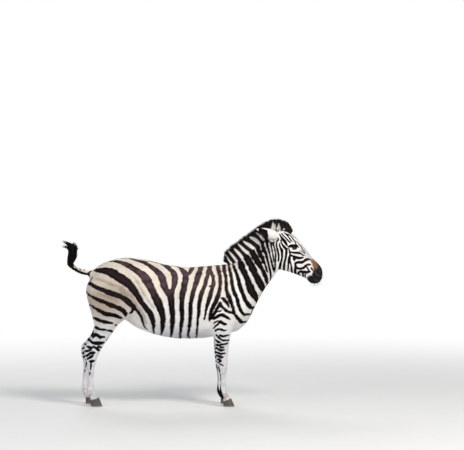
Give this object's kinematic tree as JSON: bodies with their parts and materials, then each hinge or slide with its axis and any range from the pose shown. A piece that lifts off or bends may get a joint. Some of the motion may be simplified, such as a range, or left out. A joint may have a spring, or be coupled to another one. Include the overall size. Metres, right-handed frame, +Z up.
{
  "type": "plains zebra",
  "caption": "Life-size standing plains zebra mare, as a still museum model: head level, ears laid back, mane upright, tail swished up, square on its hooves.",
  "frame": {"origin": "on the ground under the middle of the overall length, in the animal's middle plane", "axes": "+X towards the muzzle, +Y to the animal's left, +Z up"},
  "size_m": [2.4152, 0.5382, 1.7278],
  "materials": {
    "coat": "short smooth hair, brown-black stripes on cream",
    "dark_hair": "long stiff hair, black with white bands",
    "hoof_horn": "ringed grey-brown horn",
    "eye": "wet dark brown"
  },
  "bodies": {
    "root": {"head": "coat", "neck": "coat", "trunk": "coat", "hindquarters": "coat", "tail_dock": "coat", "ear_left": "coat", "ear_right": "coat", "foreleg_left_upper": "coat", "foreleg_right_upper": "coat", "foreleg_left_cannon": "coat", "foreleg_right_cannon": "coat", "hindleg_left_upper": "coat", "hindleg_right_upper": "coat", "hindleg_left_cannon": "coat", "hindleg_right_cannon": "coat", "mane": "dark_hair", "forelock": "dark_hair", "tail_brush": "dark_hair", "hoof_foreleg_left": "hoof_horn", "hoof_foreleg_right": "hoof_horn", "hoof_hindleg_left": "hoof_horn", "hoof_hindleg_right": "hoof_horn", "eye_left": "eye", "eye_right": "eye"}
  },
  "joints": []
}
